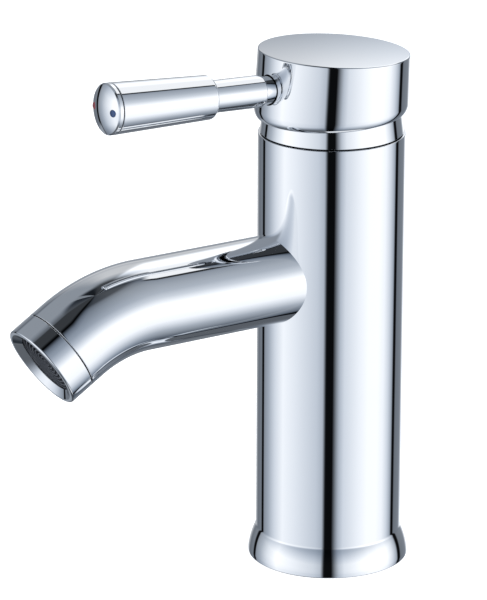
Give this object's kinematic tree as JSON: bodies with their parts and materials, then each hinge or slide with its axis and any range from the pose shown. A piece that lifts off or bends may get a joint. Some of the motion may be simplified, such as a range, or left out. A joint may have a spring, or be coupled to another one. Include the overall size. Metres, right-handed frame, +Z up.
{
  "type": "bathroom mixer faucet",
  "caption": "Single-lever bathroom mixer faucet with a cylindrical column body, a downturned round spout with aerator, and a tilting, swivelling stick-handle cap over a ceramic-disc cartridge.",
  "frame": {"origin": "centre of the underside, on the body's axis, at the solid middle of the inlet plate", "axes": "+Z up along the body, -Y forward along the spout and the lever, +X towards the cold side"},
  "size_m": [0.0508, 0.1375, 0.1663],
  "materials": {
    "chrome_plate": "polished mirror chrome plating",
    "brass": "machined brass, unplated",
    "copper": "drawn copper tube",
    "stainless_steel": "satin stainless steel",
    "alumina_ceramic": "lapped white alumina ceramic",
    "white_acetal": "moulded white acetal",
    "grey_plastic": "moulded dark grey plastic",
    "black_rubber": "matt black rubber",
    "red_inlay": "glossy red enamel",
    "blue_inlay": "glossy blue enamel"
  },
  "bodies": {
    "faucet": {"body": "chrome_plate", "base_gasket": "black_rubber", "inlet_plate": "brass", "hot_riser": "copper", "cold_riser": "copper", "valve_body": "brass", "spout": "chrome_plate", "aerator_housing": "chrome_plate", "aerator_gasket": "black_rubber", "aerator_jet_cup": "grey_plastic", "aerator_screen": "stainless_steel", "aerator_grille": "grey_plastic", "cartridge_base": "white_acetal", "hot_port_seal": "black_rubber", "cold_port_seal": "black_rubber", "outlet_port_seal": "black_rubber", "fixed_disc": "alumina_ceramic", "cartridge_case": "grey_plastic", "cartridge_nut": "brass", "collar_seal": "black_rubber", "collar": "chrome_plate"},
    "turret": {"turret": "white_acetal", "stem_pin": "stainless_steel"},
    "disc": {"disc_carrier": "grey_plastic", "moving_disc": "alumina_ceramic"},
    "handle": {"stem": "brass", "handle_cap": "chrome_plate", "lever_rod": "chrome_plate", "lever_grip": "chrome_plate", "lever_end_cap": "chrome_plate", "hot_index": "red_inlay", "cold_index": "blue_inlay"}
  },
  "joints": [
    {"name": "handle_swivel", "type": "hinge", "parent": "faucet", "child": "turret", "pos_m": [0, 0, 0.136], "axis": [0, 0, 1], "range_deg": [-45, 45]},
    {"name": "handle_tilt", "type": "hinge", "parent": "turret", "child": "handle", "pos_m": [0, 0, 0.136], "axis": [-1, 0, 0], "range_deg": [0, 20]},
    {"name": "disc_slide", "type": "slide", "parent": "turret", "child": "disc", "axis": [0, -1, 0], "range_m": [0, 0.0045]}
  ],
  "couplings": [
    {"joint": "disc_slide", "follows": "handle_tilt", "m_per_rad": 0.012536}
  ]
}
